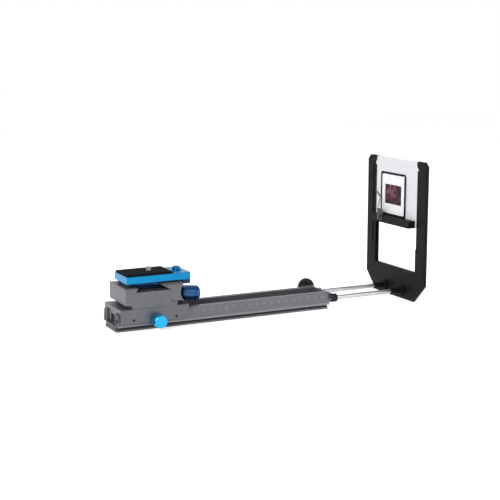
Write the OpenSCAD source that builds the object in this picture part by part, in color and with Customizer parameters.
// Slide duplicator: a focusing rail with a quick-release carriage at one end and,
// on two steel rods that telescope out of the rail, an upright frame that holds a
// 50 x 50 mm slide in front of a white diffuser.
// Frame: origin in the middle of the rail's underside, +X towards the slide,
// +Y to the side away from the ruler, +Z up. Millimetres.

/* [Rail] */
// Length of the extruded rail
rail_l = 276; // [250:1:300]
// Width of the rail across its side faces
rail_w = 45.8; // [45.8:0.2:48]
// Height of the rail from the underside of its foot
rail_h = 21.5; // [21:0.5:24]
// Width of the dovetail foot at the bottom
foot_w = 38; // [37:0.5:39]
// Width of the open channel along the top
channel_w = 26; // [24:0.5:27]
// Height of the channel floor
floor_z = 7; // [6.8:0.1:7.2]

/* [Rods] */
// Diameter of each rod
rod_d = 5.5; // [5:0.1:5.5]
// Length of each rod
rod_l = 281; // [260:1:300]
// Distance between the two rod centres
rod_gap = 38.8; // [38.4:0.1:39]
// Height of the rod centres
rod_z = 13.3; // [13:0.1:13.5]

/* [Carriage] */
// Middle of the carriage along the rail, at rest
carriage_x = -93.8; // [-96:0.1:-60]
// Length of the saddle along the rail
saddle_l = 83.4; // [80:0.1:90]
// Width of the saddle and clamp block
saddle_w = 54; // [53:0.5:56]
// Height of the saddle's top face
saddle_top = 27; // [26.5:0.1:28]
// Height of the lower edge of the aprons
apron_z = 10.6; // [10.5:0.1:12]

/* [Clamp and plate] */
// Length of the clamp block with its jaw
block_l = 70.6; // [70:0.1:74]
// Length of the block's foot on the saddle
block_foot_l = 55; // [52:0.5:60]
// Height of the floor of the clamp groove
groove_z = 46; // [45.5:0.1:46.5]
// Height of the clamp screw where it leaves the jaw
clamp_z = 35.5; // [35.4:0.1:36]
// Diameter of the clamp knob
clamp_knob_d = 18.2; // [16:0.1:20]
// Length of the quick-release plate
plate_l = 78.4; // [76:0.1:84]
// Width of the quick-release plate
plate_w = 40; // [38:0.5:44]
// Thickness of the plate's bright upper slab
plate_t = 8.5; // [8:0.1:10]

/* [Knobs] */
// Diameter of the lock knob beside the rail
lock_knob_d = 15.2; // [12:0.1:16]
// Diameter of the focusing knob
drive_knob_d = 22; // [18:0.5:24]
// Diameter of the bracket's thumbscrew head
thumb_d = 21.8; // [16:0.2:24]

/* [Slide frame] */
// Where the frame's front face stands along the rail, at rest
frame_x = 247.1; // [240:0.1:260]
// Thickness of the frame plate
frame_t = 5; // [4.8:0.1:6]
// Width of the frame plate
frame_w = 132.4; // [128:0.2:140]
// Lower edge of the frame plate
frame_z0 = 2.4; // [1:0.1:4]
// Upper edge of the frame plate
frame_z1 = 180.1; // [178:0.1:190]
// Half width of the window at the front
window_hw = 46.7; // [46:0.1:47]
// Height of the window's sill
sill_z = 40.3; // [36:0.1:44]

/* [Slide holder] */
// Side of the square slide mount
slide_side = 50; // [50:0.1:50.8]
// Thickness of the slide mount
slide_t = 1.9; // [1.5:0.1:2]
// Sideways place of the slide's middle
slide_y = 4.2; // [3.5:0.1:4.5]
// Height of the seat that the slide stands on
seat_z = 108.2; // [107.5:0.1:109]
// Height of the lower edge of the ledge bar
ledge_z = 96.2; // [96:0.1:97]
// Height of the ledge bar
ledge_h = 9.2; // [8.5:0.1:9.4]

/* [Hidden] */

$fn = 64;
end_x = rail_l / 2;
rod_y = rod_gap / 2;
rod_bore_d = rod_d + 0.12;
side_y = rail_w / 2;
lip_y = side_y + 0.5;
eps = 0.01;

// Fine screws: metric diameters of the fasteners used
m2 = 2;
m3 = 3;
m4 = 4;
m5 = 5;
camera_thread_d = 6.35;
large_thread_d = 9.525;

// Rail section
lip_z = 6;
waist_hw = foot_w / 2 - 2.8;
undercut_hw = channel_w / 2 + 2.5;
undercut_h = 3.5;
corner_r = 3;

// Saddle
saddle_hw = saddle_w / 2;
saddle_x0 = carriage_x - saddle_l / 2;
slide_gap = 0.2;
gib_z = 14.2;
gib_h = 6;
gib_t = 1.6;
gib_l = 71;
gib_screw_dx = [-25.8, 26.3];
lock_x = carriage_x + 2;
lock_z = 12.6;
lock_face_y = -41.2;

// Rack and pinion
module_m = 0.8;
pinion_teeth = 10;
pinion_r = module_m * pinion_teeth / 2;
rack_pitch = PI * module_m;
rack_line_z = 9.4;
rack_y0 = lip_y;
rack_w = 2.8;
rack_x1 = 122;
rack_teeth = floor((rack_x1 + end_x) / rack_pitch);
mesh_gap = 0.15;
drive_z = rack_line_z + pinion_r + mesh_gap;
pinion_y0 = rack_y0 + 0.05;
boss_y1 = 32;
boss_hw = 11;
drive_shaft_d = 5;

// Clamp block, in distances from the middle of the carriage
block_hl = block_l / 2;
foot_hl = block_foot_l / 2;
foot_top_z = 31.5;
fixed_jaw_z = 50.7;
groove_x0 = -23;
fixed_lip_x = -19.9;
rocker = [25.2, 39.8];
rocker_r = 7.6;
jaw_tip = [9.2, 52.9];
jaw_gap = 0.25;
jaw_hollow = [44.4, 41.35];
jaw_hollow_r = 12.5;
clamp_tilt = 5.7;
seat_in = 2.2;
guide_y = 15;
guide_z = 38.8;
guide_d = 4;
block_screw_x = [-12, 6];
block_screw_y = 21;

// Quick-release plate
plate_x0 = -125;
plate_z0 = 54.5;
tenon_z0 = groove_z + 0.4;
plate_top = plate_z0 + plate_t;
layer_z = 51;
ridge_z = 49.4;
pad_l = 57;
pad_t = 2;
camera_screw_x = plate_x0 + 34;

// Rod bracket at the rail's end
bracket_t = 3.4;
bracket_hw = 25.3;
bracket_z = [7.5, 20.3];
bracket_cut = 6.5;
nipple_d = 7.6;
nipple_l = 7.6;
nut_d = 10.3;
nut_l = 7.6;
nut_x = end_x + bracket_t + 0.5;
thumb_x = 135;
thumb_z = 18.6;
lug_x0 = 126;
lug_z = [11, 21.3];
lug_y = [side_y + 0.05, 27.6];

// Slide frame
rod_x1 = frame_x + frame_t;
groove_t = 2.2;
front_lip_t = 1.4;
groove_hw = 49.8;
rear_hw = 44.5;
groove_end_z = 66.5;
stripe_hw = 53.2;
stripe_depth = 0.9;
notch_z = [168.4, 174.8];
notch_hw = 51.2;

// Slide holder
diffuser_x = frame_x + front_lip_t + 0.1;
diffuser_t = 2;
ledge_x0 = 239;
ledge_hw = 43;
slide_x0 = 246;
slide_corner_r = 2;
mask_base_x = slide_x0 + slide_t + 0.1;
mask_y = [-21.4, 35.8];
mask_top = 160.8;
film_gate = [37.6, 25.1];
film_t = 0.15;
clip_y = [16, 28.6];
clip_z = [99.3, 113.7];
clip_t = 1;
clip_mid_y = (clip_y[0] + clip_y[1]) / 2;
clip_screw_z = 103.2;
wire_d = 0.9;

// Points on an arc, counter-clockwise from a0 to a1 degrees in n steps
function arc(c, r, a0, a1, n = 6) = [for (i = [0:n]) let (a = a0 + (a1 - a0) * i / n)
    [c[0] + r * cos(a), c[1] + r * sin(a)]];

// A list of points mirrored in the vertical axis and joined to the list itself
function both_sides(half) = concat(half, [for (i = [len(half) - 1:-1:0]) [-half[i][0], half[i][1]]]);

// A section drawn in (Y, Z), carried along X from x0 over a length
module along_x(x0, length) {
    translate([x0, 0, 0]) rotate([90, 0, 90]) linear_extrude(length) children();
}

// A section drawn in (X, Z), carried along Y from y0 over a length
module along_y(y0, length) {
    translate([0, y0 + length, 0]) rotate([90, 0, 0]) linear_extrude(length) children();
}

// A rod or bore along X, Y or Z
module rod_x(x0, y, z, d, length) {
    translate([x0, y, z]) rotate([0, 90, 0]) cylinder(d = d, h = length);
}
module rod_y(x, y0, z, d, length) {
    translate([x, y0, z]) rotate([-90, 0, 0]) cylinder(d = d, h = length);
}
module rod_z(x, y, z0, d, length) {
    translate([x, y, z0]) cylinder(d = d, h = length);
}

// A block from its lowest corner to its highest
module block(low, high) {
    translate(low) cube(high - low);
}

// A knurled outline: straight flutes pressed into a circle
module knurl(d, flutes, depth) {
    polygon([for (i = [0:2 * flutes - 1]) let (a = i * 180 / flutes, r = d / 2 - (i % 2) * depth)
        [r * cos(a), r * sin(a)]]);
}

// A turned piece on +Z, from its half outline of radii and heights
module turned(profile) {
    rotate_extrude() polygon(profile);
}

function unit(v) = v / norm(v);
function square_to(v, t) = unit(v - (v * t) * t);
function tangent(path, i) = unit(path[min(i + 1, len(path) - 1)] - path[max(i - 1, 0)]);

// The side direction at point i of a path, carried along from the start without twist
function side_dir(path, i) = square_to(i == 0 ? [0.31, 0.9, 0.17] : side_dir(path, i - 1), tangent(path, i));

// A round wire along a path, with a given number of flat sides
module tube(path, d, sides) {
    rings = [for (i = [0:len(path) - 1]) let (t = tangent(path, i), u = side_dir(path, i), w = cross(t, u))
        each [for (j = [0:sides - 1]) let (a = 360 * j / sides) path[i] + d / 2 * (cos(a) * u + sin(a) * w)]];
    last = sides * (len(path) - 1);
    polyhedron(rings, concat(
        [for (j = [1:sides - 2]) [0, j, j + 1]],
        [for (i = [0:len(path) - 2], j = [0:sides - 1], half = [0, 1])
            let (a = sides * i + j, b = sides * i + (j + 1) % sides)
            half == 0 ? [a, a + sides, b] : [b, a + sides, b + sides]],
        [for (j = [1:sides - 2]) [last, last + j + 1, last + j]]));
}

// ---------------------------------------------------------------- rail

// Half outline of the extrusion in (Y, Z), from the middle of the underside outwards
rail_half = concat(
    [[foot_w / 2 - 0.6, 0], [foot_w / 2, 0.6], [foot_w / 2, 2.2], [waist_hw, 5], [waist_hw, lip_z],
     [lip_y - 0.4, lip_z], [lip_y, lip_z + 0.4], [side_y + 0.1, lip_z + 2.6], [side_y, lip_z + 3]],
    arc([side_y - corner_r, rail_h - corner_r], corner_r, 0, 90),
    [[channel_w / 2, rail_h], [channel_w / 2, floor_z + undercut_h],
     [undercut_hw, floor_z + undercut_h], [undercut_hw, floor_z]]);

module rail() color([0.44, 0.44, 0.47]) difference() {
    along_x(-end_x, rail_l) polygon(both_sides(rail_half));
    for (s = [-1, 1]) rod_x(-end_x - 1, s * rod_y, rod_z, rod_bore_d, rail_l + 2);
    rod_z(0, 0, -eps, 10, 6.5);
    rod_z(-40, 0, -eps, 13, 6.5);
    rod_y(thumb_x, channel_w / 2 - 1, thumb_z, m4, 12);
    for (x = rack_screw_x) rod_y(x, rack_y0 - 5, 7, m2, 8);
    for (x = stop_x, s = [-1, 1]) rod_z(x, s * 9, floor_z - 2, 2, 5);
}

// The steel rack lies along the far side of the rail, teeth up
rack_screw_x = [-130, -70, 0, 70, 115];

// Outline in (X, Z) of one rack tooth, left root first
function rack_tooth(x) = [[x - 0.98, rack_line_z - 1], [x - 0.34, rack_line_z + module_m],
    [x + 0.34, rack_line_z + module_m], [x + 0.98, rack_line_z - 1]];

module gear_rack() color([0.35, 0.35, 0.36]) difference() {
    along_y(rack_y0, rack_w) polygon(concat(
        [[rack_x1, 5.6], [-end_x, 5.6], [-end_x, rack_line_z - 1]],
        [for (i = [0:rack_teeth - 1]) each rack_tooth(-end_x + (i + 0.5) * rack_pitch)],
        [[rack_x1, rack_line_z - 1]]));
    for (x = rack_screw_x) {
        rod_y(x, rack_y0 - 1, 7, m2, 5);
        rod_y(x, rack_y0 + rack_w - 1.2, 7, 2.6, 2);
    }
}

module rack_screws() color([0.2, 0.2, 0.2]) for (x = rack_screw_x) {
    rod_y(x, rack_y0 - 5, 7, m2, 5 + rack_w - 1.2);
    rod_y(x, rack_y0 + rack_w - 1.2, 7, 2.6, 1.1);
}

// Steel thread inserts for a tripod: the small one in the middle, the large one beside it
module tripod_bushes() color([0.7, 0.7, 0.7]) {
    difference() {
        rod_z(0, 0, 0, 10, 6.4);
        rod_z(0, 0, -1, camera_thread_d, 9);
    }
    difference() {
        rod_z(-40, 0, 0, 13, 6.4);
        rod_z(-40, 0, -1, large_thread_d, 9);
    }
}

// Pins in the channel floor that end the carriage's travel
stop_x = [-136.8, 120];

module stop_pins() color([0.6, 0.6, 0.6]) for (x = stop_x, s = [-1, 1])
    rod_z(x, s * 9, floor_z - 2, 2, 5.5);

// ---------------------------------------------------------------- rod bracket

// End plate with a lug round the far side, and a threaded nipple round each rod
module rod_bracket() color([0.42, 0.42, 0.44]) difference() {
    union() {
        along_x(end_x, bracket_t) polygon([
            [-bracket_hw, bracket_z[1]], [-bracket_hw, bracket_z[0] + bracket_cut],
            [bracket_cut - bracket_hw, bracket_z[0]], [bracket_hw - bracket_cut, bracket_z[0]],
            [lug_y[1], lug_z[0]], [lug_y[1], lug_z[1]], [bracket_hw - 3, lug_z[1]],
            [bracket_hw - 6, bracket_z[1]]]);
        block([lug_x0, lug_y[0], lug_z[0]], [end_x + eps, lug_y[1], lug_z[1]]);
        for (s = [-1, 1]) rod_x(end_x + 1, s * rod_y, rod_z, nipple_d, bracket_t - 1 + nipple_l);
    }
    for (s = [-1, 1]) rod_x(end_x - 1, s * rod_y, rod_z, rod_bore_d, 20);
    rod_y(thumb_x, lug_y[0] - 1, thumb_z, m4 + 0.1, 8);
}

// Steel stud of the thumbscrew, screwed into the far wall of the rail above the rod
module bracket_stud() color([0.6, 0.6, 0.6])
    rod_y(thumb_x, channel_w / 2 + 1, thumb_z, m4 - 0.06, 18.6);

module bracket_thumbscrew() color([0.13, 0.13, 0.14])
    translate([thumb_x, lug_y[1] + 0.1, thumb_z]) rotate([-90, 0, 0]) difference() {
        union() {
            cylinder(d = 10, h = 1.2);
            translate([0, 0, 1]) linear_extrude(5) knurl(thumb_d, 44, 0.45);
            translate([0, 0, 0.5]) cylinder(d = 13.4, h = 6);
        }
        translate([0, 0, -1]) cylinder(d = m4 - 0.06, h = 5.9);
    }

// Knurled nut that squeezes the bracket's split nipple on to the rod
module collet_nut(s) translate([nut_x, s * rod_y, rod_z]) rotate([0, 90, 0]) difference() {
    union() {
        linear_extrude(nut_l) knurl(nut_d, 30, 0.3);
        translate([0, 0, -0.4]) cylinder(d = nut_d - 1.4, h = nut_l + 0.8);
    }
    translate([0, 0, -1]) cylinder(d = nipple_d + 0.1, h = nipple_l + 0.6);
    cylinder(d = rod_d + 0.4, h = nut_l + 2);
}
module collet_nut_near() color([0.15, 0.15, 0.16]) collet_nut(-1);
module collet_nut_far() color([0.15, 0.15, 0.16]) collet_nut(1);

// ---------------------------------------------------------------- carriage

cavity_hw = side_y + slide_gap;
tongue_hw = channel_w / 2 - 0.25;
tongue_foot_hw = undercut_hw - 0.2;
tongue_z = [floor_z + 0.3, floor_z + undercut_h - 0.25];

// Half section of the saddle in (Y, Z): apron, cavity for the rail's wall, T-shaped tongue
saddle_half = concat(
    [[6, saddle_top - 8.5], [6, tongue_z[0]], [tongue_foot_hw, tongue_z[0]],
     [tongue_foot_hw, tongue_z[1]], [tongue_hw, tongue_z[1]], [tongue_hw, rail_h + 0.25]],
    [for (i = [6:-1:0]) arc([cavity_hw - corner_r, rail_h + 0.25 - corner_r], corner_r, 0, 90)[i]],
    [[cavity_hw, apron_z], [saddle_hw - 0.5, apron_z], [saddle_hw, apron_z + 0.5],
     [saddle_hw, saddle_top - 0.4], [saddle_hw - 0.4, saddle_top]]);

module saddle() color([0.46, 0.46, 0.48]) difference() {
    union() {
        along_x(saddle_x0, saddle_l) polygon(both_sides(saddle_half));
        block([carriage_x - boss_hw, rack_y0 + rack_w + 0.4, drive_z - 6.5],
              [carriage_x + boss_hw, boss_y1, saddle_top - 1]);
    }
    // pocket for the gib, its screws and the lock screw
    block([carriage_x - gib_l / 2 - 0.1, -cavity_hw - 1.6, gib_z - gib_h / 2 - 0.05],
          [carriage_x + gib_l / 2 + 0.1, -cavity_hw + 0.2, gib_z + gib_h / 2 + 0.05]);
    for (dx = gib_screw_dx) rod_y(carriage_x + dx, -saddle_hw - 1, gib_z, m3, 4);
    rod_y(lock_x, -saddle_hw - 1, lock_z, m4, 4);
    // pinion pocket, open below, and the bearing behind it
    rod_y(carriage_x, cavity_hw - 0.5, drive_z, 2 * pinion_r + 2.4, rack_y0 + rack_w + 0.4 - cavity_hw + 0.5);
    rod_y(carriage_x, 26, drive_z, 7.5, 8);
    for (u = block_screw_x, s = [-1, 1]) rod_z(carriage_x + u, s * block_screw_y, saddle_top - 4.5, m4, 6);
}

// Bearing strip between the near apron and the rail
module gib_strip() color([0.72, 0.6, 0.36])
    block([carriage_x - gib_l / 2, -side_y - 0.05 - gib_t, gib_z - gib_h / 2],
          [carriage_x + gib_l / 2, -side_y - 0.05, gib_z + gib_h / 2]);

module gib_screws() color([0.1, 0.1, 0.1]) for (dx = gib_screw_dx) difference() {
    rod_y(carriage_x + dx, -saddle_hw + 0.7, gib_z, m3, saddle_hw - 0.7 - side_y - 0.05 - gib_t);
    translate([carriage_x + dx, -saddle_hw + 0.5, gib_z]) rotate([-90, 30, 0])
        cylinder(d = 1.7, h = 1.1, $fn = 6);
}

module drive_bush() color([0.75, 0.6, 0.35]) difference() {
    rod_y(carriage_x, rack_y0 + rack_w + 0.5, drive_z, 7.5, boss_y1 - rack_y0 - rack_w - 0.5);
    rod_y(carriage_x, 20, drive_z, drive_shaft_d + 0.06, 20);
}

// Section in (X, Z) of the clamp block, from the middle of the carriage
block_outline = [[-foot_hl, saddle_top], [foot_hl, saddle_top], [foot_hl, foot_top_z + 0.2],
    [rocker[0] - 4, foot_top_z + 0.2], [rocker[0] - 4, groove_z], [groove_x0, groove_z],
    [fixed_lip_x, fixed_jaw_z], [-block_hl, fixed_jaw_z], [-block_hl, foot_top_z],
    [-foot_hl, foot_top_z]];

// The clamp screw leans: it pulls the jaw down as well as in. Children drawn along +X start
// at the jaw's outer face, on the screw's axis or on one parallel to it
module clamp_axis(y = 0, z = clamp_z) {
    translate([carriage_x + block_hl, y, z]) rotate([0, clamp_tilt, 0]) children();
}

// Ends bevelled at the top, drawn in (Y, Z)
module bevelled_ends(top, bevel) {
    polygon(both_sides([[saddle_hw, saddle_top - 1], [saddle_hw, top - bevel], [saddle_hw - bevel, top]]));
}

module clamp_block() color([0.46, 0.46, 0.48]) difference() {
    intersection() {
        translate([carriage_x, 0, 0]) along_y(-saddle_hw, saddle_w) polygon(block_outline);
        along_x(saddle_x0, saddle_l) bevelled_ends(fixed_jaw_z, 1);
    }
    rod_y(carriage_x + rocker[0], -saddle_hw - 1, rocker[1], 2 * (rocker_r + jaw_gap), saddle_w + 2);
    clamp_axis() rod_x(-43.3, 0, 0, m5, 40);
    for (s = [-1, 1]) clamp_axis(s * guide_y, guide_z) {
        rod_x(-33.3, 0, 0, guide_d, 30);
        rod_x(-25.3, 0, 0, 7, 20);
    }
    for (u = block_screw_x, s = [-1, 1]) {
        rod_z(carriage_x + u, s * block_screw_y, saddle_top - 1, m4, 30);
        rod_z(carriage_x + u, s * block_screw_y, groove_z - 4.2, 7.2, 10);
    }
}

// Socket-head screws that hold the block on the saddle, sunk in the groove's floor
module block_screws() color([0.15, 0.15, 0.15]) for (u = block_screw_x, s = [-1, 1])
    translate([carriage_x + u, s * block_screw_y, 0]) difference() {
        union() {
            translate([0, 0, saddle_top - 4.4]) cylinder(d = m4, h = groove_z - saddle_top + 0.4);
            translate([0, 0, groove_z - 4.2]) cylinder(d = 7, h = 4);
        }
        translate([0, 0, groove_z - 2.2]) cylinder(d = 3.4, h = 3, $fn = 6);
    }

module jaw_guide_pins() color([0.65, 0.65, 0.66]) for (s = [-1, 1])
    clamp_axis(s * guide_y, guide_z) rod_x(-33.3, 0, 0, guide_d, 27);

// Open coil springs on the guide pins, which push the jaw off the plate
spring_r = 2.75;
spring_wire_d = 0.7;
spring_turns = 4;
spring_pitch = 1.45;

module jaw_springs() color([0.6, 0.6, 0.6]) for (s = [-1, 1])
    clamp_axis(s * guide_y, guide_z) tube([for (k = [0:8 * spring_turns]) let (a = 45 * k)
        [-24.6 + spring_pitch * k / 8, spring_r * cos(a), spring_r * sin(a)]], spring_wire_d, 6);

// Section in (X, Z) of the moving jaw above its round seat
jaw_outline = [[rocker[0], rocker[1] - rocker_r], [block_hl - 0.1, rocker[1] - rocker_r],
    [block_hl - 0.1, jaw_tip[1]], [jaw_tip[0], jaw_tip[1]], [jaw_tip[0], jaw_tip[1] - 0.7],
    [jaw_tip[0] + 10.1, groove_z + jaw_gap], [rocker[0], groove_z + jaw_gap]];

module moving_jaw() color([0.46, 0.46, 0.48]) difference() {
    intersection() {
        translate([carriage_x, 0, 0]) union() {
            along_y(-saddle_hw, saddle_w) polygon(jaw_outline);
            intersection() {
                rod_y(rocker[0], -saddle_hw, rocker[1], 2 * rocker_r, saddle_w);
                block([0, -saddle_hw, 0], [rocker[0] + 1, saddle_hw, groove_z + 1]);
            }
        }
        along_x(carriage_x, 50) bevelled_ends(jaw_tip[1], 2.1);
    }
    // hollow outer side, and the flat seat of the knob in it
    rod_y(carriage_x + jaw_hollow[0], -saddle_hw - 1, jaw_hollow[1], 2 * jaw_hollow_r, saddle_w + 2);
    clamp_axis() {
        rod_x(-36, 0, 0, m5 + 0.1, 40);
        rod_x(-seat_in, 0, 0, 10, 6);
    }
    for (s = [-1, 1]) clamp_axis(s * guide_y, guide_z) rod_x(-35.3, 0, 0, guide_d + 0.1, 30.6);
}

module clamp_screw() color([0.7, 0.7, 0.7]) clamp_axis() rod_x(-42.9, 0, 0, m5 - 0.06, 58);

// Turned knob: a hub that swells into the barrel, a ring groove near the end, a rounded end
clamp_knob_r = clamp_knob_d / 2;
clamp_knob_profile = concat(
    [[0, 0], [4.6, 0], [4.6, 7.2]], arc([clamp_knob_r - 5.4, 12.2], 5, -80, 0, 8),
    [[clamp_knob_r - 0.4, 12.7], [clamp_knob_r, 13.1], [clamp_knob_r, 24.8], [clamp_knob_r - 0.7, 25.4],
     [clamp_knob_r - 0.7, 26.2], [clamp_knob_r - 0.1, 26.8]],
    arc([clamp_knob_r - 3.1, 29.4], 3, 0, 90, 6), [[0, 32.4]]);

module clamp_knob() color([0.15, 0.3, 0.52]) clamp_axis() difference() {
    translate([0.1 - seat_in, 0, 0]) rotate([0, 90, 0]) turned(clamp_knob_profile);
    rod_x(-20, 0, 0, m5 - 0.06, 35.1);
}

// ---------------------------------------------------------------- lock and focusing knobs

module lock_screw() color([0.6, 0.6, 0.6])
    rod_y(lock_x, lock_face_y + 3, lock_z, m4 - 0.06, -lock_face_y - 3 - side_y - 0.1 - gib_t);

lock_knob_r = lock_knob_d / 2;
lock_profile = [[0, 0], [lock_knob_r - 0.9, 0], [lock_knob_r, 0.9], [lock_knob_r, 11.4],
    [lock_knob_r - 1, 12.4], [4.2, 12.4], [4.2, 13.9], [0, 13.9]];

module lock_knob() color([0.2, 0.66, 0.9]) difference() {
    translate([lock_x, lock_face_y, lock_z]) rotate([-90, 0, 0]) turned(lock_profile);
    rod_y(lock_x, lock_face_y + 3, lock_z, m4 - 0.06, 12);
}

// Outline of the pinion: straight-flanked teeth with room to roll
module pinion_outline() {
    polygon([for (i = [0:pinion_teeth - 1], k = [0:3]) let (
        half_angle = [7.5, 3.6, -3.6, -7.5][k], r = k == 0 || k == 3 ? pinion_r - 1 : pinion_r + 0.7,
        a = i * 360 / pinion_teeth - half_angle) [r * cos(a), r * sin(a)]]);
}

// Turned so that a gap faces a rack tooth or a tooth faces a gap, as the carriage stands
pinion_phase = ((carriage_x + end_x) / rack_pitch - floor((carriage_x + end_x) / rack_pitch)) * 360 / pinion_teeth;

module drive_pinion() color([0.62, 0.62, 0.63]) translate([carriage_x, pinion_y0, drive_z]) rotate([-90, 0, 0]) {
    rotate([0, 0, 90 + pinion_phase]) linear_extrude(rack_w - 0.1) pinion_outline();
    cylinder(d = drive_shaft_d, h = 19);
}

drive_knob_profile = [[0, 0], [5, 0], [5, 1.2], [10, 1.2], [10.2, 2], [10.2, 12.4], [9.4, 13.2], [0, 13.2]];

module drive_knob() color([0.2, 0.5, 0.75]) translate([carriage_x, boss_y1 + 0.2, drive_z]) rotate([-90, 0, 0])
    difference() {
        union() {
            turned(drive_knob_profile);
            translate([0, 0, 2.4]) linear_extrude(9.6) knurl(drive_knob_d, 40, 0.5);
        }
        translate([0, 0, -1]) cylinder(d = drive_shaft_d, h = 11.3);
        translate([0, 0, 9]) cylinder(d = 3, h = 5);
        translate([0, 0, 11.2]) cylinder(d = 6, h = 5);
    }

module drive_knob_screw() color([0.2, 0.2, 0.2]) translate([carriage_x, boss_y1 + 0.2, drive_z]) rotate([-90, 0, 0])
    difference() {
        union() {
            translate([0, 0, 10.4]) cylinder(d = 3, h = 1);
            translate([0, 0, 11.2]) cylinder(d = 5.9, h = 1.8);
        }
        translate([0, 0, 12.2]) cylinder(d = 2.4, h = 2, $fn = 6);
    }

// ---------------------------------------------------------------- quick-release plate

plate_hw = plate_w / 2;
tenon_hw = plate_hw - 8;

// Cross tenon in (X, Z) from the middle of the carriage: its flanks lie under the
// fixed lip and under the moving jaw
tenon_outline = [[-22.4, tenon_z0], [15.6, tenon_z0], [15.6, 48.3], [jaw_tip[0] - 0.25, 52.15],
    [jaw_tip[0] - 0.6, plate_z0 + 1], [-18, plate_z0 + 1], [-18, 51.2], [-19.4, 50.9]];

module qr_plate() color([0.08, 0.57, 0.8]) difference() {
    union() {
        along_x(plate_x0, plate_l) polygon(both_sides([[plate_hw - 0.4, plate_z0], [plate_hw, plate_z0 + 0.4],
            [plate_hw, plate_top - 0.5], [plate_hw - 0.5, plate_top]]));
        // lower layer over the fixed jaw, and the foot beyond the moving one
        along_x(plate_x0 + 3, 30.2) polygon(both_sides([[plate_hw - 3, layer_z], [plate_hw - 1, layer_z + 2],
            [plate_hw - 1, plate_z0 + 0.5]]));
        along_x(plate_x0 + plate_l - 8.1, 8.1) polygon(both_sides([[plate_hw - 2, ridge_z],
            [plate_hw - 1, ridge_z + 1], [plate_hw - 1, plate_z0 + 0.5]]));
        // tenon, and the ridge above its flanks that is nearly as wide as the plate
        translate([carriage_x, 0, 0]) {
            along_y(-tenon_hw, 2 * tenon_hw) polygon(tenon_outline);
            intersection() {
                along_y(-plate_hw, plate_w) polygon(tenon_outline);
                along_x(-block_hl, block_l) polygon(both_sides([[plate_hw - 4, ridge_z],
                    [plate_hw - 2, ridge_z + 2], [plate_hw - 2, plate_z0 + 2]]));
            }
        }
    }
    // slot and head pocket of the camera screw, threaded hole of the stop
    rod_z(camera_screw_x, 0, tenon_z0 - 1, 13.4, plate_z0 + 5.4 - tenon_z0);
    rod_z(camera_screw_x, 0, tenon_z0, camera_thread_d + 0.2, 20);
    rod_z(plate_x0 + 69, 0, plate_z0 + 2, m3, 10);
}

// Rubber pad with fine cross ribs on top of the plate
module plate_pad() color([0.07, 0.07, 0.07]) difference() {
    union() {
        block([plate_x0 + 0.8, -plate_hw + 0.9, plate_top], [plate_x0 + pad_l, plate_hw - 0.9, plate_top + pad_t]);
        for (i = [0:17]) block([plate_x0 + 2 + 3 * i, -plate_hw + 2, plate_top + pad_t - eps],
                               [plate_x0 + 3.4 + 3 * i, plate_hw - 2, plate_top + pad_t + 0.35]);
    }
    rod_z(camera_screw_x, 0, plate_top - 1, 10, 5);
}

// Captive camera screw: slotted head below, thin neck in the plate, thread above the pad
camera_head_z = tenon_z0 + 1.4;
camera_thread_z = plate_top + pad_t + 0.4;

module camera_screw() color([0.7, 0.7, 0.72]) translate([camera_screw_x, 0, 0]) difference() {
    union() {
        rod_z(0, 0, camera_head_z, 13, 3.8);
        rod_z(0, 0, camera_head_z + 3, 5.2, camera_thread_z - camera_head_z - 2);
        rod_z(0, 0, camera_thread_z, camera_thread_d - 0.05, 4.5);
    }
    block([-8, -0.8, camera_head_z - 1], [8, 0.8, camera_head_z + 1.2]);
}

// Low round stop near the end of the plate, with its screw
module plate_stop() color([0.12, 0.42, 0.62]) difference() {
    translate([plate_x0 + 69, 0, plate_top]) union() {
        cylinder(d = 10.6, h = 2.2);
        cylinder(d = 9, h = 4.2);
    }
    rod_z(plate_x0 + 69, 0, plate_top - 1, m3, 10);
    rod_z(plate_x0 + 69, 0, plate_top + 2.2, 5.4, 5);
}

module stop_screw() color([0.25, 0.25, 0.26]) translate([plate_x0 + 69, 0, plate_top]) difference() {
    union() {
        translate([0, 0, -5]) cylinder(d = m3, h = 7.4);
        translate([0, 0, 2.2]) cylinder(d = 5.2, h = 1.8);
    }
    translate([0, 0, 3]) cylinder(d = 2.4, h = 2, $fn = 6);
}

// ---------------------------------------------------------------- rods and slide frame

module rod(s) difference() {
    rod_x(rod_x1 - rod_l, s * rod_y, rod_z, rod_d, rod_l);
    rod_x(rod_x1 - 12, s * rod_y, rod_z, m3, 13);
}
module rod_near() color([0.8, 0.8, 0.82]) rod(-1);
module rod_far() color([0.8, 0.8, 0.82]) rod(1);

// Black sleeves with a flange against the frame, one on each rod
sleeve_profile = [[rod_d / 2, 0], [3.5, 0], [4, 0.5], [4, 14.6], [6.1, 14.6], [6.5, 15], [6.5, 18.1], [rod_d / 2, 18.1]];

module rod_sleeves() color([0.08, 0.08, 0.08]) for (s = [-1, 1])
    translate([frame_x - 18.1, s * rod_y, rod_z]) rotate([0, 90, 0]) turned(sleeve_profile);

// Cap screws behind the frame, into the ends of the rods
module rod_end_screws() color([0.15, 0.15, 0.15]) for (s = [-1, 1])
    translate([rod_x1, s * rod_y, rod_z]) rotate([0, 90, 0]) difference() {
        union() {
            translate([0, 0, -11]) cylinder(d = m3, h = 11);
            cylinder(d = 9, h = 1);
            cylinder(d = 6, h = 3.4);
        }
        translate([0, 0, 1.6]) cylinder(d = 2.9, h = 3, $fn = 6);
    }

// Outline of the frame plate in (Y, Z)
frame_hw = frame_w / 2;
top_cut = 5.3;
bottom_cut = 23;
frame_chamfer = 0.7;
frame_outline = both_sides([[frame_hw - bottom_cut, frame_z0], [frame_hw, frame_z0 + bottom_cut],
    [frame_hw, frame_z1 - top_cut], [frame_hw - top_cut, frame_z1]]);

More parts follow.
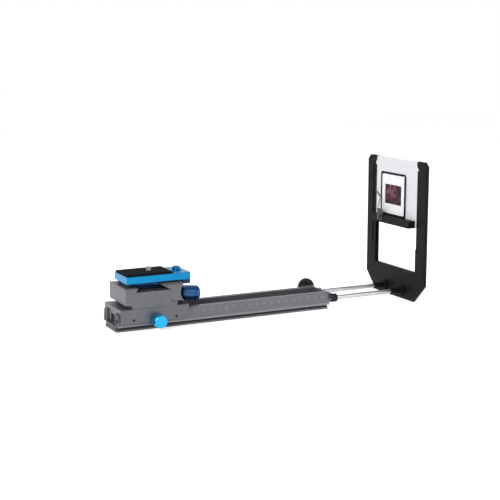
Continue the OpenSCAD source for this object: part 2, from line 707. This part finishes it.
// A square bar on the edge from a to b, given in (Y, Z), turned to cut a chamfer there
module edge_bar(x, a, b) {
    d = b - a;
    translate([x, a[0], a[1]]) rotate([atan2(d[1], d[0]), 0, 0]) translate([0, -1, 0]) rotate([0, 45, 0])
        translate([-frame_chamfer, 0, -frame_chamfer] * sqrt(0.5)) cube([frame_chamfer * sqrt(2), norm(d) + 2,
            frame_chamfer * sqrt(2)]);
}

// Window with rounded lower corners, open at the top, in (Y, Z)
module window(hw, corner = 2) {
    polygon(both_sides(concat(arc([hw - corner, sill_z + corner], corner, -90, 0), [[hw, frame_z1 + 5]])));
}

module slide_frame() color([0.16, 0.16, 0.17]) difference() {
    along_x(frame_x, frame_t) polygon(frame_outline);
    along_x(frame_x - 1, front_lip_t + groove_t + 1) window(window_hw);
    along_x(frame_x - 1, frame_t + 2) window(rear_hw);
    // grooves for the diffuser
    for (s = [-1, 1]) {
        block([frame_x + front_lip_t, min(s * 40, s * groove_hw), groove_end_z],
              [frame_x + front_lip_t + groove_t, max(s * 40, s * groove_hw), frame_z1 + 1]);
        // shallow stripe beside the window, with a round lower end
        block([frame_x - 1, min(s * 46, s * stripe_hw), groove_end_z + 3.2],
              [frame_x + stripe_depth, max(s * 46, s * stripe_hw), notch_z[0]]);
        rod_x(frame_x - 1, s * (stripe_hw - 3.25), groove_end_z + 3.25, 6.5, 1 + stripe_depth);
        // V-notch in the front lip, below the hook
        along_x(frame_x - 1, 1 + front_lip_t + 0.5) polygon([[s * 45, notch_z[0]], [s * notch_hw, notch_z[0]],
            [s * window_hw, notch_z[1]], [s * 45, notch_z[1]]]);
    }
    for (s = [-1, 1]) rod_x(frame_x - 1, s * rod_y, rod_z, rod_d, frame_t + 2);
    for (i = [0:len(frame_outline) - 1], x = [frame_x, frame_x + frame_t])
        edge_bar(x, frame_outline[i], frame_outline[(i + 1) % len(frame_outline)]);
}

// ---------------------------------------------------------------- slide holder

module diffuser() color([0.93, 0.93, 0.94]) difference() {
    block([diffuser_x, -groove_hw + 0.3, ledge_z], [diffuser_x + diffuser_t, groove_hw - 0.3, frame_z1 - 0.5]);
    for (s = [-1, 1]) rod_x(diffuser_x - 1, s * 36, ledge_z + 4.6, m3, 4);
}

module slide_ledge() color([0.12, 0.12, 0.13]) difference() {
    along_x(ledge_x0, diffuser_x - ledge_x0) polygon([[-ledge_hw, ledge_z + ledge_h], [-ledge_hw, ledge_z + 1],
        [-ledge_hw + 1, ledge_z], [ledge_hw, ledge_z], [ledge_hw, ledge_z + ledge_h]]);
    for (s = [-1, 1]) rod_x(diffuser_x - 6, s * 36, ledge_z + 4.6, m3, 8);
    rod_x(ledge_x0 - 1, clip_mid_y, clip_screw_z, m3, 6);
}

// An opening through the slide's middle, the picture's size and a margin all round, in (Y, Z)
module picture(margin) translate([slide_y, seat_z + slide_side / 2])
    square([film_gate[0] + 2 * margin, film_gate[1] + 2 * margin], center = true);

// Thin back plate with an opening for the picture, a seat below and a turned-up near edge
module mask_plate() color([0.12, 0.12, 0.13]) difference() {
    union() {
        along_x(mask_base_x, diffuser_x - mask_base_x) polygon(concat([[mask_y[0], ledge_z + ledge_h],
            [mask_y[1], ledge_z + ledge_h]], arc([mask_y[1] - 3, mask_top - 3], 3, 0, 90),
            arc([mask_y[0] + 3, mask_top - 3], 3, 90, 180)));
        block([slide_x0 + 0.2, mask_y[0], ledge_z + ledge_h], [mask_base_x + eps, mask_y[1], seat_z - 0.05]);
        block([slide_x0 + 0.2, mask_y[0], ledge_z + ledge_h],
              [mask_base_x + eps, slide_y - slide_side / 2 - 0.08, mask_top - 3]);
    }
    along_x(mask_base_x - 0.5, 2) picture(0.6);
}

// Screws from behind, through the diffuser into the ledge
module holder_screws() color([0.2, 0.2, 0.2]) for (s = [-1, 1])
    translate([diffuser_x, s * 36, ledge_z + 4.6]) rotate([0, 90, 0]) {
        translate([0, 0, -5.6]) cylinder(d = m3, h = 5.6 + diffuser_t);
        translate([0, 0, diffuser_t]) cylinder(d = 5.4, h = 1.2);
    }

module clip_plate() color([0.55, 0.55, 0.55]) difference() {
    block([ledge_x0 - clip_t, clip_y[0], clip_z[0]], [ledge_x0, clip_y[1], clip_z[1]]);
    rod_x(ledge_x0 - 3, clip_mid_y, clip_screw_z, m3, 6);
}

module clip_screw() color([0.3, 0.3, 0.3]) difference() {
    union() {
        rod_x(ledge_x0 - 2, clip_mid_y, clip_screw_z, m3, 6.8);
        rod_x(ledge_x0 - clip_t - 1.5, clip_mid_y, clip_screw_z, 5.4, 1.5);
    }
    block([ledge_x0 - clip_t - 2, clip_mid_y - 3, clip_screw_z - 0.4],
          [ledge_x0 - clip_t - 0.7, clip_mid_y + 3, clip_screw_z + 0.4]);
}

// Bent wire spring: two legs from the clip plate lean on the slide's edge, then flare
// into a hairpin lip that a finger presses aside
wire_foot_z = clip_z[1] + 0.4;
wire_feet = [for (y = [27.3, 18.6]) [ledge_x0 - clip_t / 2, y, wire_foot_z]];
wire_knee = [[243.9, 30.2, 127.9], [245.7, 29.85, 127.9]];
wire_lip = [[243, 39.8, 133.8], [244.8, 39.8, 133.8]];

// Points round a corner p from a to b, as a curve of the second degree
function rounded(a, p, b, n = 4) = [for (i = [0:n]) let (t = i / n)
    (1 - t) * (1 - t) * a + 2 * t * (1 - t) * p + t * t * b];
function between(a, b, t) = a + (b - a) * t;
function knee(k) = rounded(between(wire_feet[k], wire_knee[k], 0.88), wire_knee[k],
    between(wire_knee[k], wire_lip[k], 0.16));

lip_dir = unit(wire_lip[0] - wire_knee[0]);
lip_r = (wire_lip[1][0] - wire_lip[0][0]) / 2;
lip_arc = [for (i = [0:6]) let (a = 30 * i)
    between(wire_lip[0], wire_lip[1], 0.5) + lip_r * (sin(a) * lip_dir - [cos(a), 0, 0])];
knee_b = knee(1);
wire_path = concat([wire_feet[0]], knee(0), lip_arc, [for (i = [len(knee_b) - 1:-1:0]) knee_b[i]], [wire_feet[1]]);

module slide_spring() color([0.5, 0.5, 0.5]) tube(wire_path, wire_d, 8);

// White slide mount in two halves with the film between them
module mount_half(x0, t) along_x(x0, t) difference() {
    half = slide_side / 2;
    translate([slide_y, seat_z]) polygon(both_sides(concat(
        arc([half - slide_corner_r, slide_corner_r], slide_corner_r, -90, 0),
        arc([half - slide_corner_r, slide_side - slide_corner_r], slide_corner_r, 0, 90))));
    picture(0);
}
half_t = (slide_t - film_t) / 2;
module mount_front() color([0.94, 0.94, 0.95]) mount_half(slide_x0, half_t);
module mount_back() color([0.9, 0.9, 0.91]) mount_half(slide_x0 + half_t + film_t, half_t);

module film_chip() color([0.36, 0.14, 0.2]) along_x(slide_x0 + half_t, film_t) picture(1.2);

rail();
gear_rack();
rack_screws();
tripod_bushes();
stop_pins();
rod_bracket();
bracket_stud();
bracket_thumbscrew();
collet_nut_near();
collet_nut_far();
saddle();
gib_strip();
gib_screws();
drive_bush();
clamp_block();
block_screws();
jaw_guide_pins();
jaw_springs();
moving_jaw();
clamp_screw();
clamp_knob();
lock_screw();
lock_knob();
drive_pinion();
drive_knob();
drive_knob_screw();
qr_plate();
plate_pad();
camera_screw();
plate_stop();
stop_screw();
rod_near();
rod_far();
rod_sleeves();
slide_frame();
rod_end_screws();
diffuser();
slide_ledge();
mask_plate();
holder_screws();
clip_plate();
clip_screw();
slide_spring();
mount_front();
mount_back();
film_chip();
